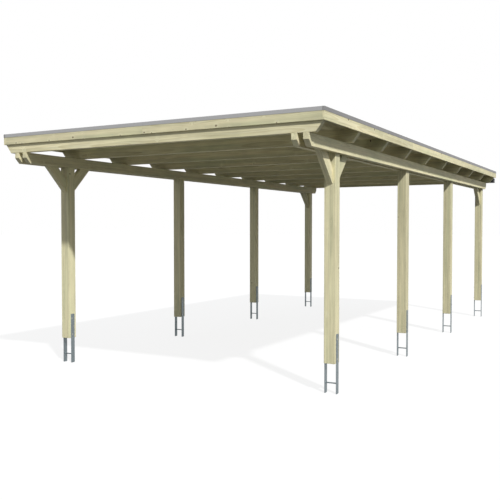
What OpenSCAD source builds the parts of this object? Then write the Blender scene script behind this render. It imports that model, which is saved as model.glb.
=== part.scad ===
// Timber carport with a flat roof: eight square posts on H-shaped steel
// anchors, two double beams, ten rafters, board fascias and a rear gutter.
// Frame: millimetres, +Z up, +X to the right, +Y towards the back, with the
// origin on the floor at the middle of the overall box.

/* [Overall] */
// Width over the side fascia boards
roof_w = 4040; // [3300:10:5000]
// Length over the side fascia boards
roof_l = 8430; // [6900:10:10300]
// Height of the underside of the beams above the floor
clear_h = 2430; // [2000:5:3000]

/* [Posts] */
// Side of the square posts
post_s = 120; // [95:1:150]
// Distance from the roof edge at each side to the centre of the posts
side_overhang = 248; // [210:1:400]
// Distance from the front of the roof to the centre of the first post
post_y1 = 787; // [600:1:1000]
// Distance from the centre of the last post to the rear of the roof
post_rear = 350; // [320:1:700]
// Height of the post bottoms above the floor
post_z = 310; // [200:1:400]

/* [Anchors] */
// Length of the upright anchor plates
anchor_l = 610; // [480:5:800]
// Width of the anchor plates along the side of the carport
anchor_w = 60; // [40:1:90]
// Thickness of the anchor plates
anchor_t = 6; // [4:0.5:8]
// Height of the middle of the crossbar above the floor
crossbar_z = 106; // [60:1:180]
// Diameter of the crossbar
crossbar_d = 14; // [10:1:20]

/* [Beams and rafters] */
// Thickness of the beam planks
beam_t = 60; // [45:1:80]
// Thickness of the rafters
rafter_t = 60; // [45:1:75]
// Height of the beam planks
beam_h = 120; // [115:1:180]
// Height of the rafters
rafter_h = 140; // [120:1:200]
// Depth of the notch that each beam plank takes out of a post
notch = 30; // [15:1:40]
// Length of the slanted cut under each beam end
beam_cut_l = 60; // [40:1:110]
// Height of the slanted cut under each beam end
beam_cut_h = 60; // [40:1:100]
// Length of the slanted cut under each rafter end
rafter_cut_l = 74; // [30:1:110]
// Height of the slanted cut under each rafter end
rafter_cut_h = 97; // [40:1:110]

/* [Braces] */
// Distance from the post to the outer edge of a brace along the beam
brace_run = 310; // [240:5:400]
// Drop of the outer edge of a brace down the post
brace_drop = 310; // [240:5:450]
// Width of the brace board
brace_w = 120; // [95:1:160]
// Height that a brace reaches up between the beam planks
brace_tuck = 100; // [60:5:110]

/* [Roof] */
// Thickness of the fascia boards
fascia_t = 20; // [16:1:30]
// Height of the fascia boards
fascia_h = 120; // [95:1:200]
// Height of the fascia top above the roof boards
fascia_up = 60; // [40:1:70]
// Thickness of the roof boards
deck_t = 20; // [16:1:28]
// Thickness of the roof membrane
membrane_t = 4; // [2:0.5:6]
// Height of the outer leg of the edge trim
trim_h = 38; // [25:1:60]
// Sheet thickness of the edge trim
trim_t = 2; // [1:0.5:3]
// Distance from the beam ends to the rear ends of the side fascias
rear_gap = 135; // [115:1:170]
// Distance that the last rafter reaches out past the beam ends
rafter_over = 30; // [0:1:40]
// Distance that the roof boards reach out over the gutter
drip = 18; // [10:1:30]

/* [Gutter] */
// Width of the box gutter
gutter_w = 105; // [90:1:140]
// Height of the outer wall of the gutter
gutter_h = 81; // [60:1:110]
// Wall thickness of the gutter
gutter_t = 3; // [2:0.5:5]
// Distance from the top of the gutter's rear wall up to the roof boards
gutter_drop = 22; // [22:1:60]
// Fall of the gutter over its length, in degrees
gutter_fall = 0.2; // [0:0.1:0.5]

/* [Hidden] */

// Extra length that joins two solids of one sub-part
lap = 1;
// Half the distance between the post rows
post_x = roof_w / 2 - side_overhang;
// Front and rear of the side fascias, with the origin in the middle of the box
front_y = (trim_t - roof_l) / 2;
back_y = front_y + roof_l;
// The first row of posts, and the distance from each of the four rows to the next
first_y = front_y + post_y1;
post_pitch = (roof_l - post_y1 - post_rear) / 3;
// Thickness of the post tongue between the beam planks
tongue = post_s - 2 * notch;
// Levels: top of the beams, rafters, roof boards, membrane and fascias
beam_top = clear_h + beam_h;
rafter_top = beam_top + rafter_h;
deck_top = rafter_top + deck_t;
skin_top = deck_top + membrane_t;
fascia_top = deck_top + fascia_up;
fascia_z = fascia_top - fascia_h;
// Inner faces of the side fascias and of the front fascia
inner_x = roof_w / 2 - fascia_t;
inner_y = front_y + fascia_t;
// Rear ends of the beams, and the rear face of the last rafter
frame_y = back_y - rear_gap;
rafter_end_y = frame_y + rafter_over;
// Number of rafters, each of them a sub-part, and the distance from one to the next
rafter_n = 10;
rafter_pitch = (rafter_end_y - inner_y - rafter_t) / (rafter_n - 1);
// Length of the gutter, the part of its rear wall above the outer wall, and its underside
gutter_l = 2 * (inner_x - 2);
gutter_back = 25;
gutter_z = rafter_top - gutter_drop - gutter_h - gutter_back;
timber_color = [0.78, 0.74, 0.58];
steel_color = [0.50, 0.53, 0.55];
trim_color = [0.60, 0.60, 0.61];
dark_color = [0.12, 0.12, 0.13];

// Side is -1 on the left and 1 on the right; row counts from the front, from 0
module at_post(side, row)
    translate([side * post_x, first_y + row * post_pitch, 0]) children();

// Lays an outline drawn as [y, z] upright along the side and gives it thickness
module side_board(thickness)
    rotate([90, 0, 90]) linear_extrude(thickness) children();

module anchor(side, row)
    at_post(side, row) union() {
        for (s = [-1, 1])
            translate([s * (post_s + anchor_t) / 2 - anchor_t / 2, -anchor_w / 2, 0])
                cube([anchor_t, anchor_w, anchor_l]);
        translate([0, 0, crossbar_z]) rotate([0, 90, 0])
            cylinder(d = crossbar_d, h = post_s + anchor_t, center = true, $fn = 24);
    }

module post(side, row)
    at_post(side, row) union() {
        translate([-post_s / 2, -post_s / 2, post_z])
            cube([post_s, post_s, clear_h - post_z]);
        translate([-tongue / 2, -post_s / 2, clear_h - lap])
            cube([tongue, post_s, beam_h + lap]);
    }

// The plank against the left (-1) or right (1) face of the post tongues
module beam_plank(side, face) {
    x0 = side * post_x + (face > 0 ? tongue / 2 : -tongue / 2 - beam_t);
    translate([x0, 0, clear_h]) side_board(beam_t)
        polygon([
            [inner_y, beam_h],
            [inner_y, beam_cut_h],
            [inner_y + beam_cut_l, 0],
            [frame_y - beam_cut_l, 0],
            [frame_y, beam_cut_h],
            [frame_y, beam_h]
        ]);
}

// Towards is -1 for a brace that rises to the front and 1 for one to the back
module brace(side, row, towards) {
    slant = norm([brace_run, brace_drop]);
    along = brace_w * slant / brace_drop;
    down = brace_w * slant / brace_run;
    foot = post_s / 2;
    head = foot + brace_run * (1 + brace_tuck / brace_drop);
    at_post(side, row) translate([-tongue / 2, 0, clear_h]) side_board(tongue)
        scale([towards, 1]) polygon([
            [foot, -brace_drop],
            [head, brace_tuck],
            [head - along, brace_tuck],
            [foot, down - brace_drop]
        ]);
}

module rafter(index)
    translate([0, inner_y + index * rafter_pitch + rafter_t, beam_top])
        rotate([90, 0, 0]) linear_extrude(rafter_t)
            polygon([
                [-inner_x, rafter_h],
                [-inner_x, rafter_cut_h],
                [rafter_cut_l - inner_x, 0],
                [inner_x - rafter_cut_l, 0],
                [inner_x, rafter_cut_h],
                [inner_x, rafter_h]
            ]);

module side_fascia(side)
    translate([side > 0 ? inner_x : -roof_w / 2, front_y, fascia_z])
        cube([fascia_t, roof_l, fascia_h]);

// A channel of sheet over the top edge of a side fascia, closed at its front
module side_trim(side) {
    x0 = inner_x - trim_t;
    x1 = roof_w / 2;
    y0 = front_y - trim_t;
    z0 = fascia_top + trim_t - trim_h;
    scale([side, 1, 1]) union() {
        translate([x1, y0, z0]) cube([trim_t, roof_l + trim_t, trim_h]);
        translate([x0, y0, z0]) cube([x1 + trim_t - x0, trim_t, trim_h]);
        translate([x0, y0, fascia_top]) cube([x1 + trim_t - x0, roof_l + trim_t, trim_t]);
        translate([x0, inner_y + trim_t, skin_top])
            cube([trim_t, back_y - inner_y - trim_t, fascia_top + trim_t - skin_top]);
    }
}

module anchor_l1() color(steel_color) anchor(-1, 0);
module anchor_l2() color(steel_color) anchor(-1, 1);
module anchor_l3() color(steel_color) anchor(-1, 2);
module anchor_l4() color(steel_color) anchor(-1, 3);
module anchor_r1() color(steel_color) anchor(1, 0);
module anchor_r2() color(steel_color) anchor(1, 1);
module anchor_r3() color(steel_color) anchor(1, 2);
module anchor_r4() color(steel_color) anchor(1, 3);
module post_l1() color(timber_color) post(-1, 0);
module post_l2() color(timber_color) post(-1, 1);
module post_l3() color(timber_color) post(-1, 2);
module post_l4() color(timber_color) post(-1, 3);
module post_r1() color(timber_color) post(1, 0);
module post_r2() color(timber_color) post(1, 1);
module post_r3() color(timber_color) post(1, 2);
module post_r4() color(timber_color) post(1, 3);
module beam_left_outer() color(timber_color) beam_plank(-1, -1);
module beam_left_inner() color(timber_color) beam_plank(-1, 1);
module beam_right_inner() color(timber_color) beam_plank(1, -1);
module beam_right_outer() color(timber_color) beam_plank(1, 1);
module brace_l1_front() color(timber_color) brace(-1, 0, -1);
module brace_l1_back() color(timber_color) brace(-1, 0, 1);
module brace_l4_front() color(timber_color) brace(-1, 3, -1);
module brace_r1_front() color(timber_color) brace(1, 0, -1);
module brace_r1_back() color(timber_color) brace(1, 0, 1);
module brace_r4_front() color(timber_color) brace(1, 3, -1);
module rafter_1() color(timber_color) rafter(0);
module rafter_2() color(timber_color) rafter(1);
module rafter_3() color(timber_color) rafter(2);
module rafter_4() color(timber_color) rafter(3);
module rafter_5() color(timber_color) rafter(4);
module rafter_6() color(timber_color) rafter(5);
module rafter_7() color(timber_color) rafter(6);
module rafter_8() color(timber_color) rafter(7);
module rafter_9() color(timber_color) rafter(8);
module rafter_10() color(timber_color) rafter(9);
module fascia_left() color(timber_color) side_fascia(-1);
module fascia_right() color(timber_color) side_fascia(1);
module trim_left() color(trim_color) side_trim(-1);
module trim_right() color(trim_color) side_trim(1);

module fascia_front() color(timber_color)
    translate([-inner_x, front_y, fascia_z])
        cube([2 * inner_x, fascia_t, fascia_h]);

module roof_boards() color(timber_color)
    translate([-inner_x, inner_y, rafter_top])
        cube([2 * inner_x, rafter_end_y + drip - inner_y, deck_t]);

module roof_membrane() color(dark_color)
    translate([-inner_x, inner_y, deck_top])
        cube([2 * inner_x, rafter_end_y + 1.4 * drip - inner_y, membrane_t]);

module trim_front() {
    half = inner_x - trim_t;
    y0 = front_y - trim_t;
    color(trim_color) union() {
        translate([-half, y0, fascia_top + trim_t - trim_h])
            cube([2 * half, trim_t, trim_h]);
        translate([-half, y0, fascia_top])
            cube([2 * half, fascia_t + 2 * trim_t, trim_t]);
        translate([-half, inner_y, skin_top])
            cube([2 * half, trim_t, fascia_top + trim_t - skin_top]);
    }
}

// A box channel against the last rafter, open at the top and closed at its ends
module gutter() color(dark_color)
    translate([0, rafter_end_y, gutter_z]) rotate([0, gutter_fall, 0])
        difference() {
            translate([-gutter_l / 2, 0, 0])
                cube([gutter_l, gutter_w, gutter_h + gutter_back]);
            translate([gutter_t - gutter_l / 2, gutter_t, gutter_t])
                cube([gutter_l - 2 * gutter_t, gutter_w - 2 * gutter_t, gutter_h + gutter_back]);
            translate([-gutter_l, gutter_t, gutter_h])
                cube([2 * gutter_l, gutter_w, gutter_h]);
        }

anchor_l1();
anchor_l2();
anchor_l3();
anchor_l4();
anchor_r1();
anchor_r2();
anchor_r3();
anchor_r4();
post_l1();
post_l2();
post_l3();
post_l4();
post_r1();
post_r2();
post_r3();
post_r4();
beam_left_outer();
beam_left_inner();
beam_right_inner();
beam_right_outer();
brace_l1_front();
brace_l1_back();
brace_l4_front();
brace_r1_front();
brace_r1_back();
brace_r4_front();
rafter_1();
rafter_2();
rafter_3();
rafter_4();
rafter_5();
rafter_6();
rafter_7();
rafter_8();
rafter_9();
rafter_10();
fascia_front();
fascia_left();
fascia_right();
roof_boards();
roof_membrane();
trim_front();
trim_left();
trim_right();
gutter();
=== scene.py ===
# %% [markdown]
# # A timber carport with a flat roof
# This lesson dresses a fixed CAD model of an open carport: eight square posts on
# steel anchors, two double beams with knee braces, ten rafters, board fascias, a
# rubber roof and a rear gutter. The CAD gives every size and place. Here each
# solid is either given a finish as it is, or is replaced by a piece with the
# small things that a joiner leaves: eased edges, saw cuts, grooves and screws.

# %% Load the carport
import math
import random
import bmesh
import bpy
from mathutils import Matrix, Vector


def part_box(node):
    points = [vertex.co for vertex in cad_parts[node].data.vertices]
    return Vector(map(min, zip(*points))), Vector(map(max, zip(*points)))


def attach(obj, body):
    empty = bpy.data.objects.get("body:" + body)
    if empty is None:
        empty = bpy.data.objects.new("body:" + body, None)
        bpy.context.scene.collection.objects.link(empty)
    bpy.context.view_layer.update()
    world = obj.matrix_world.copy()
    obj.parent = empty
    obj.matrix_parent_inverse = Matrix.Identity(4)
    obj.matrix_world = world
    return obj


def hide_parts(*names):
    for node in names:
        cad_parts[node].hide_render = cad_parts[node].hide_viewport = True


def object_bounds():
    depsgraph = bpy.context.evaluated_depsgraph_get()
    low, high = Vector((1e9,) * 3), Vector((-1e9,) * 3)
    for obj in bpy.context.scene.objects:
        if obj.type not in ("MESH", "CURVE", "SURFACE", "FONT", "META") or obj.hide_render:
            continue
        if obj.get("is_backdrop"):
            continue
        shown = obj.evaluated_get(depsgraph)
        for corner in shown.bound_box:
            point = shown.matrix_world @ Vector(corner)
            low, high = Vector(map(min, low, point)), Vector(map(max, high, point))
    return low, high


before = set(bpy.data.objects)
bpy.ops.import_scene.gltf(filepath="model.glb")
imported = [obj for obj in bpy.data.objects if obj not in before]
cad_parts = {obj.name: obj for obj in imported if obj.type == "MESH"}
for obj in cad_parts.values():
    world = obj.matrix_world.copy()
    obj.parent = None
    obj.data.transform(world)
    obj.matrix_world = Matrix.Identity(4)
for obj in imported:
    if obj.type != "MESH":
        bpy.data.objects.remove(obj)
cad_low, cad_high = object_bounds()
print(len(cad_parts), "solids, size", [round(v, 3) for v in cad_high - cad_low])

# %% [markdown]
# ## The camera
# A visitor looks at the carport from about six metres in front of it, to one side,
# with eyes at standing height. A camera could be aimed with a Track To constraint,
# but a plain place and two turns are easier to read and always give the same view.
# The lens is a little longer than normal.

# %% Camera
lens_mm = 51.372
eye = Vector((4.5364, -10.1435, 1.6741))
turn_left, look_down = math.radians(28.9174), math.radians(1.7136)

camera = bpy.data.objects.new("visitor", bpy.data.cameras.new("visitor"))
camera.data.sensor_width, camera.data.lens = 36.0, lens_mm
camera.data.clip_end = 400.0
camera.location = eye
camera.rotation_euler = (math.pi / 2 - look_down, 0, turn_left)
bpy.context.scene.collection.objects.link(camera)
bpy.context.scene.camera = camera
bpy.context.scene.view_settings.view_transform = "Standard"
print("camera", round(eye.length, 2), "m from the middle of the floor")

# %% [markdown]
# ## Helpers for node trees
# Every finish is a small tree of shader nodes. Each node and each link could have
# a line of its own, but a finish needs dozens of them, so a few helpers add a node,
# do a sum, mix two colours or run smoothly from one value to another. They take
# either plain numbers or the outputs of other nodes.

# %% Node helpers
def srgb(red, green, blue):
    """A colour given as three numbers from 0 to 255, as the linear values that shaders use."""
    values = [c / 255 for c in (red, green, blue)]
    return (*[c / 12.92 if c <= 0.04045 else ((c + 0.055) / 1.055) ** 2.4 for c in values], 1.0)


def plug(tree, socket, value):
    """Links an output to the socket, or sets the socket to a plain value."""
    if isinstance(value, bpy.types.NodeSocket):
        tree.links.new(value, socket)
    else:
        socket.default_value = value


def add(tree, kind, settings=None, **inputs):
    """A new node. An input's name has _ where the node's own has a space."""
    made = tree.nodes.new("ShaderNode" + kind)
    for name, value in (settings or {}).items():
        setattr(made, name, value)
    for name, value in inputs.items():
        plug(tree, made.inputs[name.replace("_", " ")], value)
    return made


def sums(tree, operation, *values, clamp=False):
    made = add(tree, "Math", {"operation": operation, "use_clamp": clamp})
    for socket, value in zip(made.inputs, values):
        plug(tree, socket, value)
    return made.outputs[0]


def mixed(tree, share, first, second, way="MIX"):
    made = add(tree, "Mix", {"data_type": "RGBA", "blend_type": way})
    for socket, value in zip((made.inputs[0], made.inputs[6], made.inputs[7]), (share, first, second)):
        plug(tree, socket, value)
    return made.outputs[2]


def ramped(tree, value, low, high, start=0.0, end=1.0):
    """Runs smoothly from start to end as the value goes from low to high."""
    made = add(tree, "MapRange", {"interpolation_type": "SMOOTHSTEP"}, Value=value,
               From_Min=low, From_Max=high, To_Min=start, To_Max=end)
    return made.outputs["Result"]


def blank_finish(name):
    """A material with one Principled shader, and its tree."""
    finish = bpy.data.materials.new(name)
    finish.use_nodes = True
    tree = finish.node_tree
    return finish, tree, tree.nodes["Principled BSDF"]


print("node helpers ready")

# %% [markdown]
# ## Sun and sky
# The carport stands in clear light from the front right, with the sun a bit under
# half way up, so the fascia throws a narrow shadow on the front rafter and the
# whole underside lies in shade. A sun lamp gives parallel light, and its angle
# sets how soft the shadow edges are. The world gives the shade its light: a large
# area lamp could do that too, but not evenly from all sides. Rays from the camera
# and from glossy metal see the world as plain white instead.

# %% Sun
to_sun = Vector((1.0, -0.795, 1.205)).normalized()
sun = bpy.data.objects.new("sun", bpy.data.lights.new("sun", "SUN"))
sun.data.energy = 3.8
sun.data.angle = math.radians(2.4)
sun.rotation_euler = to_sun.to_track_quat("Z", "Y").to_euler()
bpy.context.scene.collection.objects.link(sun)
print("sun", round(math.degrees(math.asin(to_sun.z))), "degrees up")

# %% World
world = bpy.data.worlds.new("studio")
bpy.context.scene.world = world
world.use_nodes = True
sky = world.node_tree
sky.nodes.clear()


def background_rays(tree):
    """1 for rays from the camera and for rays that metal or glass sends on, else 0."""
    path = add(tree, "LightPath")
    seen = sums(tree, "MAXIMUM", path.outputs["Is Camera Ray"], path.outputs["Is Glossy Ray"])
    return sums(tree, "MAXIMUM", seen, path.outputs["Is Transmission Ray"])


shade_light = add(sky, "Background", Color=(0.93, 0.965, 1.0, 1.0), Strength=0.53)
white = add(sky, "Background", Color=(1.0, 1.0, 1.0, 1.0), Strength=1.0)
choose = add(sky, "MixShader")
plug(sky, choose.inputs[0], background_rays(sky))
plug(sky, choose.inputs[1], shade_light.outputs[0])
plug(sky, choose.inputs[2], white.outputs[0])
plug(sky, add(sky, "OutputWorld").inputs["Surface"], choose.outputs[0])
print("world ready")

# %% [markdown]
# ## The floor
# The floor is a large pale sheet. A white card would throw much light up under the
# eaves, where dark ground throws little, so for the rays that light the object it
# is dull ground with a drive of paler paving that leads in under the roof. The
# camera sees it even and pale. It keeps a faint shadow, because part of what the
# camera sees is still a lit surface.

# %% Floor
floor_reach = 150.0
drive_side, drive_end = 1.0, 4.0
plate = bmesh.new()
bmesh.ops.create_grid(plate, x_segments=1, y_segments=1, size=floor_reach)
floor = bpy.data.objects.new("floor", bpy.data.meshes.new("floor"))
plate.to_mesh(floor.data)
plate.free()
bpy.context.scene.collection.objects.link(floor)

pale, tree, shader = blank_finish("pale_floor")
speckle = add(tree, "TexNoise", Vector=add(tree, "TexCoord").outputs["Object"], Scale=3.0, Detail=3.0)
tree.nodes.remove(shader)
glow = add(tree, "Emission", Color=(1.0, 1.0, 1.0, 1.0), Strength=0.86)
lit = add(tree, "BsdfDiffuse", Color=(0.13, 0.13, 0.13, 1.0))
seen = add(tree, "AddShader")
plug(tree, seen.inputs[0], glow.outputs[0])
plug(tree, seen.inputs[1], lit.outputs[0])
spot = add(tree, "SeparateXYZ", Vector=add(tree, "TexCoord").outputs["Object"])
off_middle = sums(tree, "ABSOLUTE", spot.outputs["X"])
drive = sums(tree, "MULTIPLY", ramped(tree, off_middle, drive_side, drive_side + 0.5, 1.0, 0.0),
             ramped(tree, spot.outputs["Y"], drive_end, drive_end + 1.0, 1.0, 0.0))
ground = mixed(tree, speckle.outputs["Fac"], (0.038, 0.040, 0.044, 1), (0.048, 0.051, 0.055, 1))
dull = add(tree, "BsdfDiffuse", Color=mixed(tree, drive, ground, (0.34, 0.34, 0.335, 1)))
choose = add(tree, "MixShader")
plug(tree, choose.inputs[0], background_rays(tree))
plug(tree, choose.inputs[1], dull.outputs[0])
plug(tree, choose.inputs[2], seen.outputs[0])
plug(tree, tree.nodes["Material Output"].inputs["Surface"], choose.outputs[0])
floor.data.materials.append(pale)
floor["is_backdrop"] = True
print("floor", [round(v) for v in floor.dimensions])

# %% [markdown]
# ## Treated softwood
# The frame is sawn and planed pine or spruce, pressure-treated, which leaves it a
# pale straw colour with a green cast. A picture of wood would repeat and stretch.
# Instead the tree below works out the log: yearly rings round a heart line, bent
# a little along the board, with knots that push the rings aside. Each board reads
# how far a point is across and along it from an attribute of its own mesh, so the
# figure runs through the board and shows as arcs on its ends, as in real timber.

# %% Timber colours and sizes
straw, late_wood = srgb(224, 217, 179), srgb(190, 178, 133)
green_cast, rosy_cast = srgb(203, 203, 163), srgb(226, 210, 175)
knot_brown, knot_rim, knot_halo = srgb(118, 94, 60), srgb(72, 55, 36), srgb(236, 230, 193)
ring_width, ring_waver, knot_push = 0.0046, 0.05, 0.006
knot_cells = 7.5            # cells of the knot grid to a metre across the board
rim_width, halo_width = 0.0022, 0.028
rimmed_from = 0.004         # the radius from which a knot has a dark rim
# How far along and into the log a glued layer's place moves, and how far its tone strays
layer_shift, layer_lift, layer_spread = 9.0, 0.12, 0.6
print("straw", [round(v, 2) for v in straw[:3]])

# %% [markdown]
# ## Where a point lies in the log
# Noise on plain Object coordinates would be the same size in every direction, but
# wood is drawn out along its grain. So each noise is read from the point's place in
# the log, with one scale across the board and another along it. In a glued post
# each layer is another board, so the place jumps from layer to layer.

# %% Figure and glued layers
def figure(tree, spot, sideways, lengthways, detail):
    """Noise in cells of 1/sideways metres across the board and 1/lengthways metres along it."""
    across, deep, along = spot
    place = add(tree, "CombineXYZ", X=sums(tree, "MULTIPLY", across, sideways),
                Y=sums(tree, "MULTIPLY", deep, sideways), Z=sums(tree, "MULTIPLY", along, lengthways))
    return add(tree, "TexNoise", Vector=place.outputs[0], Scale=1.0, Detail=detail).outputs["Fac"]


def glued_layers(tree, spot, heart, lamella):
    """Moves each layer of that thickness to another place in the log and gives it a tone of its own."""
    across, deep, along = spot
    heart_across, heart_deep, board_tone = heart
    layer = sums(tree, "FLOOR", sums(tree, "DIVIDE", across, lamella))
    place = add(tree, "CombineXYZ", X=layer, Y=heart_across, Z=heart_deep)
    dice = add(tree, "TexWhiteNoise", Vector=place.outputs[0])
    luck = add(tree, "SeparateColor", Color=dice.outputs["Color"])
    along = sums(tree, "MULTIPLY_ADD", luck.outputs[0], layer_shift, along)
    deep = sums(tree, "MULTIPLY_ADD", luck.outputs[1], layer_lift, deep)
    darkest = sums(tree, "SUBTRACT", board_tone, layer_spread / 2)
    board_tone = sums(tree, "MULTIPLY_ADD", luck.outputs[2], layer_spread, darkest)
    return (across, deep, along), (heart_across, heart_deep, board_tone)


print("figure helpers ready")

# %% [markdown]
# ## Knots
# A knot is the root of a branch: a brown disc with a dark rim, and pale wood round
# it where the grain bends out of its way. Knots could be placed one by one, but a
# Voronoi texture scatters them over a whole board: each of its cells has one centre
# and one random colour, and the colour says how large the knot there is, if any.

# %% Knots
def knot_pattern(tree, spot, knotty, knot_size, thin):
    """The knots, their rims and the wood that they push aside, each from 0 to 1."""
    across, deep, along = spot
    lengthways = sums(tree, "MULTIPLY", along, knot_cells * 0.75)
    through = lengthways if thin else sums(tree, "MULTIPLY", deep, knot_cells * 0.4)
    sideways = sums(tree, "MULTIPLY", deep if thin else across, knot_cells)
    place = add(tree, "CombineXYZ", X=sideways, Y=through, Z=lengthways).outputs[0]
    dimensions = {"voronoi_dimensions": "2D" if thin else "3D"}
    knots = add(tree, "TexVoronoi", dimensions, Vector=place, Scale=1.0, Randomness=0.9)
    away = sums(tree, "DIVIDE", knots.outputs["Distance"], knot_cells)
    chance = add(tree, "SeparateColor", Color=knots.outputs["Color"]).outputs[0]
    size = ramped(tree, chance, 1.0 - knotty, 1.0, 0.0, knot_size)
    knot = ramped(tree, away, sums(tree, "MULTIPLY", size, 0.8), size, 1.0, 0.0)
    from_rim = sums(tree, "ABSOLUTE", sums(tree, "SUBTRACT", away, sums(tree, "MULTIPLY", size, 0.92)))
    rim = ramped(tree, from_rim, 0.0, rim_width, 1.0, 0.0)
    rim = sums(tree, "MULTIPLY", rim, sums(tree, "GREATER_THAN", size, rimmed_from))
    pushed = ramped(tree, away, size, sums(tree, "ADD", size, halo_width), 1.0, 0.0)
    return knot, rim, pushed


print("knots up to", knot_cells, "to a metre across")

# %% [markdown]
# ## Yearly rings
# Each year a tree adds a soft pale ring that darkens towards late wood and stops
# short. A Wave texture draws rings too, but only with a sine, saw or triangle
# profile. Here the distance from the heart is cut into years, and two ramps give
# each year its slow rise and its sudden end. Noise and knots push the distance about.

# %% Yearly rings
def late_pattern(tree, spot, heart, pushed):
    """0 in the pale part of each ring and 1 in its late wood."""
    across, deep, _ = spot
    heart_across, heart_deep, _ = heart
    waver = figure(tree, spot, 3.0, 0.55, 2.0)
    from_heart = add(tree, "CombineXYZ", X=sums(tree, "SUBTRACT", across, heart_across),
                     Y=sums(tree, "SUBTRACT", deep, heart_deep), Z=0.0)
    radius = add(tree, "VectorMath", {"operation": "LENGTH"}, Vector=from_heart.outputs[0]).outputs["Value"]
    radius = sums(tree, "MULTIPLY_ADD", waver, ring_waver, radius)
    radius = sums(tree, "MULTIPLY_ADD", pushed, knot_push, radius)
    ring = sums(tree, "FRACT", sums(tree, "DIVIDE", radius, ring_width))
    rise, stop = ramped(tree, ring, 0.25, 0.92), ramped(tree, ring, 0.93, 1.0, 1.0, 0.0)
    return sums(tree, "MULTIPLY", rise, stop)


print("rings", ring_width * 1000, "mm apart")

# %% [markdown]
# ## The whole timber finish
# The patterns are laid over the straw colour one after another, and several noises
# then make the wood lighter and darker. One finish for all timber would be simpler,
# but posts are glued, fascias are thin and beams are cut from clearer wood, so the
# function is called once for each kind.

# %% Timber finish
def timber_finish(name, tone=1.0, lamella=0.0, knotty=0.7, knot_size=0.014, banded=0.11, thin=False):
    """Straw-coloured softwood.

    tone is how light the whole finish is. At 1 its mean is the colours above.
    lamella is the thickness of glued layers across the board, or 0 for solid wood.
    knotty is the share of the knot grid's cells that hold a knot.
    knot_size is the radius of the largest knot.
    banded is how much lighter a light band of the grain is than a dark one.
    thin is for boards so thin across that every knot goes right through.
    """
    finish, tree, shader = blank_finish(name)
    grain = add(tree, "Attribute", {"attribute_name": "grain"}).outputs["Vector"]
    heart = add(tree, "Attribute", {"attribute_name": "heart"}).outputs["Vector"]
    spot = tuple(add(tree, "SeparateXYZ", Vector=grain).outputs)
    heart = tuple(add(tree, "SeparateXYZ", Vector=heart).outputs)
    if lamella:
        spot, heart = glued_layers(tree, spot, heart, lamella)
    knot, rim, pushed = knot_pattern(tree, spot, knotty, knot_size, thin)
    late = late_pattern(tree, spot, heart, pushed)
    patches, streaks = figure(tree, spot, 5.0, 0.9, 1.0), figure(tree, spot, 16.0, 0.7, 3.0)
    bands, mottle = figure(tree, spot, 48.0, 1.1, 2.0), figure(tree, spot, 11.0, 4.5, 2.0)
    fibre = figure(tree, spot, 420.0, 11.0, 2.0)

    # Colour: late wood, two casts, and each knot with its halo and its rim
    colour = mixed(tree, sums(tree, "MULTIPLY", late, 0.55), straw, late_wood)
    colour = mixed(tree, ramped(tree, patches, 0.45, 0.75, 0.0, 0.8), colour, green_cast)
    colour = mixed(tree, ramped(tree, streaks, 0.5, 0.8, 0.0, 0.6), colour, rosy_cast)
    for amount, most, tint in ((pushed, 0.45, knot_halo), (knot, 0.8, knot_brown), (rim, 0.75, knot_rim)):
        colour = mixed(tree, sums(tree, "MULTIPLY", amount, most), colour, tint)

    # Level: each pattern, between its two values, lightens the wood by up to its share
    level = 0.80 * tone - 0.125 - banded / 2
    patterns = ((mottle, 0.34, 0.66, 0.10), (streaks, 0.34, 0.66, 0.20), (bands, 0.36, 0.64, banded))
    for pattern, low, high, share in patterns:
        level = sums(tree, "MULTIPLY_ADD", ramped(tree, pattern, low, high), share, level)
    for pattern, share in ((fibre, 0.12), (heart[2], 0.24)):
        level = sums(tree, "MULTIPLY_ADD", pattern, share, level)
    shade = add(tree, "CombineColor", Red=level, Green=level, Blue=level)
    plug(tree, shader.inputs["Base Color"], mixed(tree, 1.0, colour, shade.outputs[0], "MULTIPLY"))
    plug(tree, shader.inputs["Roughness"], ramped(tree, fibre, 0.2, 0.8, 0.62, 0.82))

    relief = sums(tree, "MULTIPLY_ADD", late, 0.5, fibre)
    relief = sums(tree, "MULTIPLY_ADD", knot, 0.8, relief)
    bump = add(tree, "Bump", Strength=0.35, Distance=0.0006, Height=relief)
    plug(tree, shader.inputs["Normal"], bump.outputs[0])
    return finish


timber = timber_finish("treated_timber")
clear_timber = timber_finish("treated_timber_with_few_knots", knotty=0.35, knot_size=0.008)
board_timber = timber_finish("treated_timber_boards", knotty=0.6, knot_size=0.0125, thin=True)
glued_timber = timber_finish("glued_treated_timber", lamella=0.04, knotty=0.9, banded=0.20)
end_grain = timber_finish("timber_end_grain", tone=0.93)
timber_finishes = (timber, clear_timber, board_timber, glued_timber, end_grain)
print("timber finishes:", *(finish.name for finish in timber_finishes))

# %% [markdown]
# ## Metal, rubber and paint
# The anchors are hot-dip galvanised: dull grey, with the flakes that zinc forms as
# it cools. The roof edge is plain grey sheet, one material all round, but its front
# lengths are coloured lighter and its side lengths darker, as painted light and shade.
# The gutter is dark grey sheet, coloured nearly black to add painted shade, and the
# roof is a rubber sheet that shows dust where water has dried. Each could have a tree
# of its own, but they all come down to small Voronoi flakes and large soft clouds, so
# one function makes them. The patterns are read in metres from the object's own
# coordinates, so they keep their scale on every piece.

# %% Metal and rubber finishes
def scaled(colour, factor):
    return (*[min(1.0, c * factor) for c in colour[:3]], 1.0)


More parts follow.
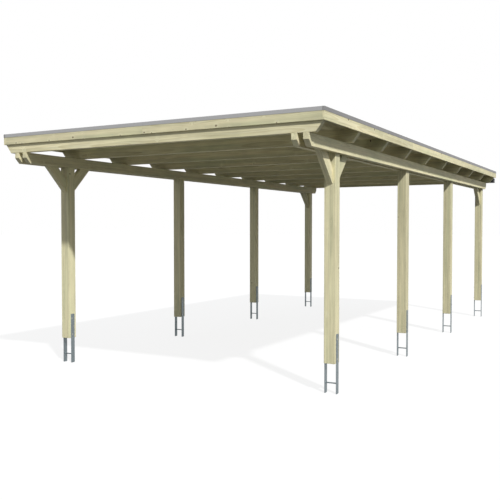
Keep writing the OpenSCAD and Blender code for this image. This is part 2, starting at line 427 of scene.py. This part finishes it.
def speckled_finish(name, colour, flakes, scale, rough, metal, spread=0.16, dusty=0.0):
    """A surface with flakes of about 1/scale metres, patches of dullness, and fine relief.

    flakes is how strongly the flakes show, and spread how far they and the clouds stray
    from the colour. rough is about its roughness, and metal how metallic it is. dusty is
    the share of dust where it lies thickest.
    """
    finish, tree, shader = blank_finish(name)
    place = add(tree, "TexCoord").outputs["Object"]
    cells = add(tree, "TexVoronoi", Vector=place, Scale=scale)
    flake = add(tree, "SeparateColor", Color=cells.outputs["Color"]).outputs[0]
    clouds = add(tree, "TexNoise", Vector=place, Scale=2.3, Detail=4.0, Roughness=0.6).outputs["Fac"]
    tint = mixed(tree, sums(tree, "MULTIPLY", flake, flakes), colour, scaled(colour, 1 + 3 * spread))
    tint = mixed(tree, ramped(tree, clouds, 0.35, 0.75, 0.0, spread), tint, scaled(colour, 0.55))
    if dusty:
        tint = mixed(tree, ramped(tree, clouds, 0.45, 0.75, 0.0, dusty), tint, srgb(150, 146, 136))
    plug(tree, shader.inputs["Base Color"], tint)
    shader.inputs["Metallic"].default_value = metal
    plug(tree, shader.inputs["Roughness"], ramped(tree, clouds, 0.3, 0.7, rough - 0.06, rough + 0.08))
    fine = add(tree, "TexNoise", Vector=place, Scale=scale * 2.5, Detail=2.0)
    bump = add(tree, "Bump", Strength=0.2, Distance=0.0003, Height=fine.outputs["Fac"])
    plug(tree, shader.inputs["Normal"], bump.outputs[0])
    return finish


zinc = speckled_finish("galvanised_zinc", srgb(124, 133, 136), flakes=0.5, scale=95.0, rough=0.48, metal=0.75)
# One grey sheet in two copies: the front copy is coloured lighter as painted light, the side copy darker as
# painted shade.
sheet_front_painted_light = speckled_finish("grey_sheet_front_painted_light", srgb(164, 164, 164), flakes=0.15, scale=240.0,
                              rough=0.48, metal=0.85, spread=0.05)
sheet_sides_painted_shade = speckled_finish("grey_sheet_sides_painted_shade", srgb(139, 138, 138), flakes=0.15, scale=240.0,
                             rough=0.48, metal=0.85, spread=0.05)
# The gutter is dark grey sheet; its near-black colour adds painted shade.
gutter_grey_and_painted_shade = speckled_finish("dark_gutter_grey_and_painted_shade", srgb(40, 41, 43), flakes=0.2, scale=300.0,
                               rough=0.40, metal=0.0, spread=0.10)
rubber = speckled_finish("rubber_roof_sheet", srgb(46, 46, 48), flakes=0.25, scale=180.0,
                         rough=0.70, metal=0.0, spread=0.12, dusty=0.22)
screw_zinc = speckled_finish("bright_screw_zinc", srgb(176, 176, 170), flakes=0.3, scale=900.0,
                             rough=0.38, metal=0.85)
print("six more finishes ready")

# %% [markdown]
# ## From a CAD solid to a joiner's piece
# A CAD node arrives as loose triangles with razor-sharp edges. A copy of it is
# welded, and triangles that lie in one plane are dissolved into single faces, so
# that the bevel operator can round each arris as a planer would. A Bevel modifier
# could round it too, but here the helper also knows which faces were flat and keeps
# them so. Long timbers are made of several lengths, so a second helper saws a copy
# across and moves the two ends a hair apart. The CAD node itself is never touched:
# it is only hidden.

# %% Cutting and rounding helpers
near = 1e-4             # metres: closer than this counts as the same place
sharp_bend = 0.3        # radians: an edge that turns further than this is an arris


def welded_copy(node):
    """The node's solid with its corners joined and every flat side one face."""
    shape = bmesh.new()
    shape.from_mesh(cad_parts[node].data)
    bmesh.ops.remove_doubles(shape, verts=shape.verts, dist=1e-5)
    bmesh.ops.dissolve_limit(shape, angle_limit=math.radians(1), verts=shape.verts, edges=shape.edges)
    for face in shape.faces:
        face.smooth = False
    return shape


def saw(shape, axis, place, kerf=0.0015):
    """Cuts what lies at that place across, closes both ends and leaves a gap as wide as a thin blade."""
    normal = Vector([float(i == axis) for i in range(3)])
    cut = bmesh.ops.bisect_plane(shape, geom=shape.verts[:] + shape.edges[:] + shape.faces[:],
                                 plane_co=normal * place, plane_no=normal)
    bmesh.ops.split_edges(shape, edges=[e for e in cut["geom_cut"] if isinstance(e, bmesh.types.BMEdge)])
    for vert in shape.verts:
        if abs(vert.co[axis] - place) < 1e-6:
            middle = sum(f.calc_center_median()[axis] for f in vert.link_faces) / len(vert.link_faces)
            vert.co[axis] += math.copysign(kerf / 2, middle - place)
    bmesh.ops.holes_fill(shape, edges=[e for e in shape.edges if e.is_boundary])


def round_edges(shape, edges, radius, segments, clamp=False):
    bmesh.ops.bevel(shape, geom=edges, offset=radius, offset_type="OFFSET", segments=segments,
                    profile=0.5, affect="EDGES", material=-1, clamp_overlap=clamp)


def outlook(face):
    """Which way a face looks, rounded so that faces of one plane compare as equal."""
    return tuple(round(v, 2) + 0.0 for v in face.normal)


def ease(shape, radius, segments=2):
    """Rounds every arris of the shape. Only the rounded strips are shaded smooth."""
    shape.normal_update()
    flat = {outlook(face) for face in shape.faces}
    arrises = [e for e in shape.edges if len(e.link_faces) == 2 and e.calc_face_angle() > sharp_bend]
    round_edges(shape, arrises, radius, segments, clamp=True)
    shape.normal_update()
    for face in shape.faces:
        face.smooth = outlook(face) not in flat


print("cutting and rounding helpers ready")

# %% [markdown]
# ## Laying the grain
# In a real frame each board comes from another log, or from another stretch of it.
# The finish could be turned for each board by a Mapping node, but then every board
# would need a finish of its own. Instead each point of a board carries its place
# in the log as an attribute, and many boards share one finish. Boards are told
# apart by walking along the edges from point to point, so the two lengths of a
# sawn timber get two different figures.

# %% Grain helpers
log_length = 40.0
heart_aside, heart_lift = (0.045, 0.11), 0.06       # from a board's middle to its log's heart


def loose_parts(shape):
    """The shape's separate parts, each as a list of its vertices."""
    seen, parts = set(), []
    for first in shape.verts:
        if first in seen:
            continue
        part, waiting = [], [first]
        seen.add(first)
        while waiting:
            vert = waiting.pop()
            part.append(vert)
            for edge in vert.link_edges:
                other = edge.other_vert(vert)
                if other not in seen:
                    seen.add(other)
                    waiting.append(other)
        parts.append(part)
    return parts


def lay_grain(shape, along, seed, tones=()):
    """Writes on each board's points how far they lie across and along it, and where its log's heart was.

    tones gives the boards their tones in the order of their middles: 0 is a dark board,
    1 is a light one, and a number outside these goes further. Without it, luck decides.
    """
    along = Vector(along).normalized()
    across = Vector((1, 0, 0)) if abs(along.x) < 0.9 else Vector((0, 1, 0))
    deep = along.cross(across).normalized()
    grain = shape.verts.layers.float_vector.new("grain")
    heart = shape.verts.layers.float_vector.new("heart")
    luck = random.Random(seed)
    boards = loose_parts(shape)
    boards.sort(key=lambda board: round(sum(v.co.dot(along) for v in board) / len(board), 4))
    for number, board in enumerate(boards):
        low = Vector([min(v.co[i] for v in board) for i in range(3)])
        high = Vector([max(v.co[i] for v in board) for i in range(3)])
        middle, start = (low + high) / 2, luck.uniform(0, log_length)
        side = luck.choice((-1, 1)) * luck.uniform(*heart_aside)
        lift, tone = luck.uniform(-heart_lift, heart_lift), luck.random()
        tone = tones[number] if tones else tone
        for vert in board:
            off = vert.co - middle
            vert[grain] = (off.dot(across), off.dot(deep), off.dot(along) + start)
            vert[heart] = (side, lift, tone)
    shape.normal_update()
    for face in shape.faces:
        face.material_index = 1 if abs(face.normal.dot(along)) > 0.6 else 0
    return len(boards)


print("grain helpers ready")

# %% [markdown]
# ## Handing a piece over
# A finished shape becomes an object at the origin, with its place in its mesh, and
# rides with the carport. Whether a face is shaded smooth could be left to the Smooth
# by Angle modifier alone. It bends the light on wide flat faces next to a rounded
# arris, so faces that were marked flat are made flat again.

# %% Hand-over helper
def put_out(shape, name, finishes, replaced=(), soft_angle=40):
    """Makes the shape an object. Edges that turn further than soft_angle stay sharp."""
    rounded = [face.smooth for face in shape.faces]
    mesh = bpy.data.meshes.new(name)
    shape.to_mesh(mesh)
    shape.free()
    if "custom_normal" in mesh.attributes:
        mesh.attributes.remove(mesh.attributes["custom_normal"])
    mesh.shade_smooth()
    mesh.set_sharp_from_angle(angle=math.radians(soft_angle))
    if any(rounded):
        for polygon, smooth in zip(mesh.polygons, rounded):
            polygon.use_smooth = smooth
    for finish in finishes:
        mesh.materials.append(finish)
    piece = bpy.data.objects.new(name, mesh)
    bpy.context.scene.collection.objects.link(piece)
    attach(piece, "root")
    if replaced:
        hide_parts(*replaced)
    return piece


print("hand-over helper ready")

# %% [markdown]
# ## Posts
# Each post is 12 cm square and glued up from three layers, which stops it from
# twisting. The layers show as faint upright bands on the front and back. The top
# is notched on both sides so that a tongue stands between the two beam planks. A
# cube could be cut to this shape, but the CAD solid already has it, so a copy only
# needs its arrises rounded by 4 mm, which catches a thin line of light.

# %% Posts
post_names = [f"post_{side}{row}" for side in "lr" for row in (1, 2, 3, 4)]
post_tones = (0.60, 0.60, 1.20, 1.20, 0.25, -0.20, -0.05, 0.14)
post_arris = 0.004
for number, node in enumerate(post_names):
    shape = welded_copy(node)
    ease(shape, post_arris)
    lay_grain(shape, (0, 0, 1), 100 + number, tones=post_tones[number:number + 1])
    put_out(shape, "timber_" + node, [glued_timber, end_grain], [node])
low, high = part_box("post_r1")
print(len(post_names), "posts, each", round((high - low).z, 3), "m long with its tongue")

# %% [markdown]
# ## Beams
# Two planks lie on either side of the post tongues. At more than eight metres they
# are longer than timber is sold, so each is made of two lengths that meet near the
# second post. Two boards could be modelled instead, but sawing one keeps its outer
# size exact. It is sawn before the edges are eased, so the cut ends get their own
# small arris and the joint reads as a fine dark line.

# %% Beams
joint_before_post = 0.024
beam_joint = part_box("post_r2")[0].y - joint_before_post
beams = ["beam_left_outer", "beam_left_inner", "beam_right_inner", "beam_right_outer"]
beam_arris = 0.0015
for number, node in enumerate(beams):
    shape = welded_copy(node)
    saw(shape, 1, beam_joint)
    ease(shape, beam_arris)
    count = lay_grain(shape, (0, 1, 0), 200 + number)
    put_out(shape, "timber_" + node, [clear_timber, end_grain], [node])
print(len(beams), "beam planks of", count, "lengths, joint at", round(beam_joint, 3))

# %% [markdown]
# ## Knee braces
# A brace is a short board that stands at 45 degrees between a post and its beam
# and keeps the frame square. Its grain runs along the slope. An object turned by
# 45 degrees would do that, but pieces here stay unturned, so the slope is given as
# a direction. Each board leans either to the front or to the back, as its name says.

# %% Knee braces
brace_places = ("l1_front", "l1_back", "l4_front", "r1_front", "r1_back", "r4_front")
braces = ["brace_" + place for place in brace_places]
planed_arris = 0.003


def lean_of(brace):
    """-1 for a brace that leans to the front, 1 for one that leans to the back."""
    return -1 if brace.endswith("front") else 1


for number, node in enumerate(braces):
    shape = welded_copy(node)
    ease(shape, planed_arris)
    lay_grain(shape, (0, lean_of(node), 1), 300 + number)
    put_out(shape, "timber_" + node, [timber, end_grain], [node])
print(len(braces), "braces")

# %% [markdown]
# ## Rafters
# Ten rafters lie across the beams on edge, planed on all four sides. Their ends are
# cut away underneath, so the fascia board hides them from the side. An Array
# modifier could repeat one of them, but then all would show the same knots, so a
# loop makes each from its own solid.

# %% Rafters
rafters = [f"rafter_{number}" for number in range(1, 11)]
front_rafter_tone = 0.3
for number, node in enumerate(rafters):
    shape = welded_copy(node)
    ease(shape, planed_arris)
    lay_grain(shape, (1, 0, 0), 400 + number, tones=(front_rafter_tone,) if number == 0 else ())
    put_out(shape, "timber_" + node, [clear_timber, end_grain], [node])
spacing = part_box("rafter_2")[0].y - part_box("rafter_1")[0].y
print(len(rafters), "rafters at", round(spacing, 3), "m")

# %% [markdown]
# ## Fascia boards
# Thin boards close the roof at the front and the sides. The front one has a joint
# in the middle, and each side is made of three lengths that meet on a rafter, as
# a joiner needs something to screw both ends to. A dark line in the finish could
# stand for a joint, but a real cut shows from every side and lets the two boards
# differ in tone.

# %% Fascia boards
def on_rafter(number):
    """The Y of a rafter's middle."""
    low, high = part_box(f"rafter_{number}")
    return (low.y + high.y) / 2


front_joint = -0.012
side_joints = [on_rafter(4), on_rafter(7)]
board_arris = 0.002
# Each fascia's axis, the places of its joints and the tones of its boards
fascias = {
    "fascia_front": (0, [front_joint], (-0.05, -0.10)),
    "fascia_left": (1, side_joints, (0.3, 0.8, 0.1)),
    "fascia_right": (1, side_joints, (0.45, 0.80, 0.15)),
}
for number, (node, (axis, places, tones)) in enumerate(fascias.items()):
    shape = welded_copy(node)
    for place in places:
        saw(shape, axis, place)
    ease(shape, board_arris)
    lay_grain(shape, (1, 0, 0) if axis == 0 else (0, 1, 0), 500 + number, tones=tones)
    put_out(shape, "timber_" + node, [board_timber, end_grain], [node])
print("side fascia joints at", [round(y, 2) for y in side_joints])

# %% [markdown]
# ## Roof boards
# From below one sees narrow boards that run from the front to the back over the
# rafters, with a V groove at each joint. Lines in the finish would stay flat when the
# light or the view changes, so each board is a cube of its own, scaled to its length,
# and at the end the lower long edges of all of them are bevelled at once. Where a
# board ends on a rafter, the next one starts, and the ends are staggered.

# %% Roof boards
deck_low, deck_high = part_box("roof_boards")
usual_board, side_gap, end_gap, groove = 0.121, 0.0008, 0.001, 0.005
board_count = round((deck_high.x - deck_low.x) / usual_board)
board_width = (deck_high.x - deck_low.x) / board_count
ends = [deck_low.y] + [on_rafter(n) for n in (2, 3, 4, 5, 6, 7, 8, 9)] + [deck_high.y]
last_end = len(ends) - 1
luck = random.Random(7)
deck = bmesh.new()
for column in range(board_count):
    first = luck.choice((3, 4, 5))
    stops = [0, first, min(first + luck.choice((3, 4)), last_end - 1), last_end]
    for start, stop in zip(stops, stops[1:]):
        if stop <= start:
            continue
        made = bmesh.ops.create_cube(deck, size=1.0)["verts"]
        length = ends[stop] - ends[start] - end_gap
        bmesh.ops.scale(deck, verts=made, vec=(board_width - side_gap, length, deck_high.z - deck_low.z))
        centre = (deck_low.x + (column + 0.5) * board_width, (ends[start] + ends[stop]) / 2,
                  (deck_low.z + deck_high.z) / 2)
        bmesh.ops.translate(deck, verts=made, vec=centre)
lower = [e for e in deck.edges if all(v.co.z < deck_low.z + near for v in e.verts)
         and abs(e.verts[0].co.x - e.verts[1].co.x) < near]
round_edges(deck, lower, groove, segments=1, clamp=True)
count = lay_grain(deck, (0, 1, 0), 600)
put_out(deck, "roof_boarding", [clear_timber, end_grain], ["roof_boards"], soft_angle=20)
print(board_count, "rows of boards,", round(board_width * 1000), "mm wide,", count, "lengths in all")

# %% [markdown]
# ## The rubber roof
# A rubber sheet covers the boards in one piece. It never lies quite flat: it has
# shallow waves and a welt where two widths are joined, and at the rear it reaches
# past the boards with a short fold, so that water drips into the gutter. A cloth
# simulation could let it settle, but waves this low look the same when a few sines
# give a grid its heights. The grid's rear edge is then extruded down, and the sheet
# gets a thickness with the solidify operator.

# %% Rubber roof sheet
sheet_low, sheet_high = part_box("roof_membrane")
size = sheet_high - sheet_low
side_room, end_room, fold_room = 0.008, 0.006, 0.001
wave_height, ripple_height = 0.0012, 0.0006
welt_height, welt_width, welt_y = 0.0018, 0.03, 0.4
flat_rim, sheet_thickness = 0.02, 0.0025
rubber_sheet = bmesh.new()
bmesh.ops.create_grid(rubber_sheet, x_segments=80, y_segments=160, size=0.5)
bmesh.ops.scale(rubber_sheet, verts=rubber_sheet.verts, vec=(size.x - side_room, size.y - end_room, 1))
sheet_middle = ((sheet_low.x + sheet_high.x) / 2, (sheet_low.y + sheet_high.y) / 2 - fold_room, 0)
bmesh.ops.translate(rubber_sheet, verts=rubber_sheet.verts, vec=sheet_middle)
for vert in rubber_sheet.verts:
    x, y, z = vert.co
    wave = math.sin(3.1 * x + 0.8 * math.sin(1.3 * y)) * math.sin(2.3 * y + 1.1 * math.sin(2.2 * x))
    ripple = (math.sin(19 * x + 3 * math.sin(0.9 * y)) + math.sin(11 * y + 2.0 * math.sin(1.7 * x))) / 2
    welt = math.exp(-((y - welt_y) / welt_width) ** 2) * welt_height
    edge = min(x - sheet_low.x, sheet_high.x - x, y - sheet_low.y, sheet_high.y - y)
    lift = wave_height * wave + ripple_height * ripple + welt
    vert.co.z = sheet_high.z + (lift if edge > flat_rim else 0.0)
last = max(v.co.y for v in rubber_sheet.verts)
rear = [e for e in rubber_sheet.edges if all(v.co.y > last - near for v in e.verts)]
folded = bmesh.ops.extrude_edge_only(rubber_sheet, edges=rear)["geom"]
bmesh.ops.translate(rubber_sheet, verts=[v for v in folded if isinstance(v, bmesh.types.BMVert)],
                    vec=(0, 0, sheet_low.z - sheet_high.z + fold_room))
bmesh.ops.recalc_face_normals(rubber_sheet, faces=rubber_sheet.faces)
if sum(f.normal.z for f in rubber_sheet.faces) < 0:
    bmesh.ops.reverse_faces(rubber_sheet, faces=rubber_sheet.faces)
bmesh.ops.solidify(rubber_sheet, geom=rubber_sheet.faces[:], thickness=sheet_thickness)
put_out(rubber_sheet, "rubber_roof", [rubber], ["roof_membrane"])
print("rubber sheet", round(size.x, 2), "by", round(size.y, 2), "m")

# %% [markdown]
# ## The roof's edge sheet
# Folded grey sheet caps the fascias. It comes in lengths of about two metres, which
# meet with a hairline gap. A profile could be swept round the roof, but the CAD
# solids have the right one, so their copies are only sawn into lengths and their
# folds eased by about half a millimetre, because thin sheet bends tightly.

# %% Roof edge sheet
usual_length, hairline, sheet_fold = 2.1, 0.001, 0.0006


def cut_places(low, high, length):
    """Where to cut a stretch into equal pieces of about that length."""
    count = max(1, round((high - low) / length))
    return [low + (high - low) * n / count for n in range(1, count)]


for node, axis in (("trim_front", 0), ("trim_left", 1), ("trim_right", 1)):
    low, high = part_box(node)
    cuts = cut_places(low[axis], high[axis], usual_length)
    shape = welded_copy(node)
    for place in cuts:
        saw(shape, axis, place, hairline)
    ease(shape, sheet_fold)
    # Front lengths get the copy with painted light, side lengths the copy with painted shade.
    put_out(shape, "edge_" + node, [sheet_front_painted_light if axis == 0 else sheet_sides_painted_shade], [node])
    print(node, "in", len(cuts) + 1, "lengths")

# %% [markdown]
# ## The gutter
# The gutter hangs behind the last rafter: a folded box of dark grey sheet, coloured
# nearly black as painted shade, that falls a little to one end. It too is a copy of
# its solid, with its folds eased by about a millimetre. Its outer top corners are
# measured first, because the lip and the straps of the next step follow the same fall.

# %% Gutter
gutter_low, gutter_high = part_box("gutter")
channel = welded_copy("gutter")
rim = [v.co.copy() for v in channel.verts if v.co.y > gutter_high.y - near]
rim_left = max((p for p in rim if p.x < 0), key=lambda p: p.z)
rim_right = max((p for p in rim if p.x > 0), key=lambda p: p.z)
drop = rim_left.z - rim_right.z
fall = math.atan2(drop, rim_right.x - rim_left.x)
gutter_fold = 0.0012
ease(channel, gutter_fold, segments=1)
# The box, and later its lip and straps, take the dark grey finish with painted shade.
put_out(channel, "gutter_box", [gutter_grey_and_painted_shade], ["gutter"])
print("gutter", round(gutter_high.x - gutter_low.x, 2), "m long, falls", round(drop * 1000), "mm")

# %% [markdown]
# ## The gutter's lip and straps
# The outer edge of a sheet gutter is rolled into a tube, which makes it stiff and
# safe to touch. A curve with a round bevel could be that tube, but it is straight,
# so a long thin cone with equal ends does, laid on the slope. A strap across the top
# every half metre stops the walls from spreading. Each is a narrow grid bent over
# the lip by moving its rows, then given a thickness.

# %% Gutter lip and straps
lip_radius, lip_room = 0.006, 0.004
gutter_parts = bmesh.new()
middle = (rim_left + rim_right) / 2 + Vector((0, -lip_radius, -lip_radius / 2))
lay_down = Matrix.Translation(middle) @ Matrix.Rotation(math.pi / 2 + fall, 4, "Y")
bmesh.ops.create_cone(gutter_parts, cap_ends=True, segments=12, radius1=lip_radius, radius2=lip_radius,
                      depth=(rim_right - rim_left).length - lip_room, matrix=lay_down)

strap_count, strap_width, strap_thickness = 8, 0.028, 0.0015
straps = bmesh.new()
back_top = gutter_high.z - drop / 2
# The strap's course in Y and Z: up the inner wall, across, and down over the lip
strap_bend = [(gutter_low.y + 0.0040, back_top - 0.030), (gutter_low.y + 0.0045, back_top - 0.003),
              (gutter_low.y + 0.0100, back_top - 0.001), (gutter_high.y - 0.0150, middle.z + 0.006),
              (gutter_high.y - 0.0040, middle.z + 0.008), (gutter_high.y - 0.0016, middle.z + 0.002)]
for number in range(strap_count):
    x = gutter_low.x + (number + 0.5) * (gutter_high.x - gutter_low.x) / strap_count
    strip = bmesh.ops.create_grid(straps, x_segments=1, y_segments=len(strap_bend) - 1, size=0.5)["verts"]
    for vert in strip:
        y, z = strap_bend[round((vert.co.y + 0.5) * (len(strap_bend) - 1))]
        vert.co = (x + vert.co.x * strap_width, y, z - x * math.tan(fall))
bmesh.ops.recalc_face_normals(straps, faces=straps.faces)
bmesh.ops.solidify(straps, geom=straps.faces[:], thickness=strap_thickness)
put_out(straps, "gutter_straps", [gutter_grey_and_painted_shade])
put_out(gutter_parts, "gutter_lip", [gutter_grey_and_painted_shade])
print(strap_count, "straps and a lip of", lip_radius * 2000, "mm")

# %% [markdown]
# ## Steel anchors
# Each post stands in an anchor: two flat bars with a round bar welded between
# them, galvanised after welding. The flat bars get rounded corners. A weld could be
# a small torus, but a bead has a flatter side against each bar, so a small outline
# is spun once round the crossbar at each of its ends.

# %% Anchors
bar_radius, bar_height, plate_thickness = 0.007, 0.106, 0.006
plate_corner, steel_arris = 0.006, 0.0008
square_bend = 1.2       # radians: the plates' square edges turn further than this


def weld_ring(shape, centre, towards_middle):
    """A bead of weld round one end of the crossbar: a small outline spun once round the bar."""
    outline = [(-0.001, bar_radius - 0.002), (-0.001, bar_radius + 0.005), (0.002, bar_radius + 0.004),
               (0.0045, bar_radius + 0.0015), (0.005, bar_radius - 0.002)]
    points = [shape.verts.new(centre + towards_middle * x + Vector((0, 0, r))) for x, r in outline]
    lines = [shape.edges.new((a, b)) for a, b in zip(points, points[1:] + points[:1])]
    bmesh.ops.spin(shape, geom=points + lines, cent=centre, axis=Vector((1, 0, 0)),
                   angle=2 * math.pi, steps=16, use_merge=True)


anchors = [f"anchor_{side}{row}" for side in "lr" for row in (1, 2, 3, 4)]
welds = bmesh.new()
for node in anchors:
    low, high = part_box(node)
    shape = welded_copy(node)
    corners = [e for e in shape.edges if len(e.link_faces) == 2 and e.calc_face_angle() > square_bend
               and all(min(v.co.z - low.z, high.z - v.co.z) < near for v in e.verts)
               and abs(e.verts[0].co.y - e.verts[1].co.y) < near]
    round_edges(shape, corners, plate_corner, segments=3)
    ease(shape, steel_arris, segments=1)
    put_out(shape, "steel_" + node, [zinc], [node])
    for x, inward in ((low.x + plate_thickness, 1), (high.x - plate_thickness, -1)):
        weld_ring(welds, Vector((x, (low.y + high.y) / 2, bar_height)), Vector((inward, 0, 0)))
bmesh.ops.remove_doubles(welds, verts=welds.verts, dist=1e-5)
bmesh.ops.recalc_face_normals(welds, faces=welds.faces)
put_out(welds, "anchor_welds", [zinc])
print(len(anchors), "anchors with", 2 * len(anchors), "welds")

# %% [markdown]
# ## Screws
# Hexagon screws with a washer hold the anchors. Countersunk screws, flush with the
# wood, hold the planks to posts and braces, and the fascias. A cone with six sides
# and a cone with twelve make a head and its washer, and an inset with a negative
# depth makes the socket of a flat head. Geometry Nodes could spread one screw over
# all the places. Here each screw has only a few faces, so all of a kind are simply
# made in one mesh.

# %% Screw helpers
def facing(place, outward):
    """Moves a shape to the place and turns its Z axis outward."""
    return Matrix.Translation(place) @ Vector(outward).to_track_quat("Z", "Y").to_matrix().to_4x4()


def disc(shape, place, out, lift, sides, radii, depth):
    """A short cone whose middle lies lift outward from the place. Gives its vertices."""
    return bmesh.ops.create_cone(shape, cap_ends=True, segments=sides, radius1=radii[0], radius2=radii[1],
                                 depth=depth, matrix=facing(place + out * lift, out))["verts"]


def hexagon_screw(shape, place, outward):
    """A 13 mm hexagon head on a washer, whose underside is at the place."""
    place, out = Vector(place), Vector(outward)
    disc(shape, place, out, lift=0.0008, sides=12, radii=(0.0095, 0.0092), depth=0.0016)
    head = disc(shape, place, out, lift=0.0041, sides=6, radii=(0.0073, 0.0073), depth=0.0050)
    top = [e for e in shape.edges if all(v in head for v in e.verts)
           and all((v.co - place).dot(out) > 0.006 for v in e.verts)]
    round_edges(shape, top, radius=0.0009, segments=1)


def flat_screw(shape, place, outward):
    """A countersunk head of 9 mm with a socket, flush with the wood apart from its thin rim."""
    place, out = Vector(place), Vector(outward)
    head = disc(shape, place, out, lift=0.0001, sides=10, radii=(0.0045, 0.0043), depth=0.0010)
    faces = (f for v in head for f in v.link_faces)
    face = max(faces, key=lambda f: (f.calc_center_median() - place).dot(out))
    bmesh.ops.inset_individual(shape, faces=[face], thickness=0.0024, depth=-0.0007)


print("screw helpers ready")

# %% [markdown]
# ## Where the screws sit
# Three screws go through each side of an anchor, in turn on either side of its
# middle so that the post doesn't split. Each plank has two at every post and one at
# every brace. A side fascia has two at every rafter, and the front one has single
# screws at even steps and two at its joint. The places could be clicked one by one,
# but worked out from the boxes of the pieces they stay right if a size changes.

# %% Anchor screws
anchor_screws = ((0.045, -0.012), (0.145, 0.012), (0.245, -0.012))   # up the post, and off its middle
hexagons = bmesh.new()
for node in anchors:
    low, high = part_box(node)
    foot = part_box(node.replace("anchor", "post"))[0].z
    for height, shift in anchor_screws:
        for x, side in ((low.x, -1), (high.x, 1)):
            hexagon_screw(hexagons, (x, (low.y + high.y) / 2 + shift, foot + height), (side, 0, 0))
hexagon_count = len(loose_parts(hexagons)) // 2
put_out(hexagons, "hexagon_screws", [screw_zinc], soft_angle=25)
print(hexagon_count, "hexagon screws")


# %% Plank screws
def free_face(plank):
    """The X of the plank's face that looks away from its pair, and the way it looks."""
    low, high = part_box(plank)
    return (low.x, -1) if plank in ("beam_left_outer", "beam_right_inner") else (high.x, 1)


post_screws = ((-0.028, 0.040), (0.028, 0.082))     # along the plank from the post's middle, and up it
brace_screw = (0.115, 0.052)                        # back from the brace's tip, and up the plank
flats = bmesh.new()
plank_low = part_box("beam_right_outer")[0].z
for plank in beams:
    face_x, side = free_face(plank)
    row_side = "l" if "left" in plank else "r"
    for row in (1, 2, 3, 4):
        post_low, post_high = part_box(f"post_{row_side}{row}")
        for along, up in post_screws:
            place = (face_x, (post_low.y + post_high.y) / 2 + along, plank_low + up)
            flat_screw(flats, place, (side, 0, 0))
    for brace in braces:
        if brace.startswith("brace_" + row_side):
            brace_low, brace_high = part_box(brace)
            tip = brace_low.y if lean_of(brace) < 0 else brace_high.y
            place = (face_x, tip - lean_of(brace) * brace_screw[0], plank_low + brace_screw[1])
            flat_screw(flats, place, (side, 0, 0))
print(len(loose_parts(flats)), "plank screws")

# %% Fascia screws
fascia_screw_height, rafter_screw_shift = 0.020, 0.016
front_screws, front_margin, joint_shift = 11, 0.05, 0.018
for side in ("left", "right"):
    low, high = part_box("fascia_" + side)
    face_x, out = (low.x, -1) if side == "left" else (high.x, 1)
    for number in range(1, len(rafters) + 1):
        for shift in (-rafter_screw_shift, rafter_screw_shift):
            flat_screw(flats, (face_x, on_rafter(number) + shift, low.z + fascia_screw_height), (out, 0, 0))
low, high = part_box("fascia_front")
for number in range(front_screws):
    x = low.x + front_margin + number * (high.x - low.x - 2 * front_margin) / (front_screws - 1)
    shifts = (-joint_shift, joint_shift) if number == front_screws // 2 else (0.0,)
    for shift in shifts:
        flat_screw(flats, (x + shift + front_joint, low.y, low.z + fascia_screw_height), (0, -1, 0))
flat_count = len(loose_parts(flats))
put_out(flats, "flat_screws", [screw_zinc], soft_angle=25)
print(flat_count, "flat screws with those of the fascias")

# %% [markdown]
# ## Finish
# The CAD nodes that stay hidden still get a finish, in case one is shown later.
# The print shows how far the box of the dressed carport lies outside the box of the CAD on each side, in
# millimetres.

# %% Sizes and hand over
# Hidden trims take the side sheet with its painted shade, and the gutter its dark grey with painted shade.
hidden_finishes = {"anchor": zinc, "trim": sheet_sides_painted_shade, "gutter": gutter_grey_and_painted_shade, "roof": rubber}
for node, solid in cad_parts.items():
    finish = hidden_finishes.get(node.split("_")[0], timber)
    solid.data.materials.clear()
    solid.data.materials.append(timber if node == "roof_boards" else finish)
low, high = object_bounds()
below, above = cad_low - low, high - cad_high
print("grew by", [round(v * 1000, 1) for v in below], [round(v * 1000, 1) for v in above], "mm")
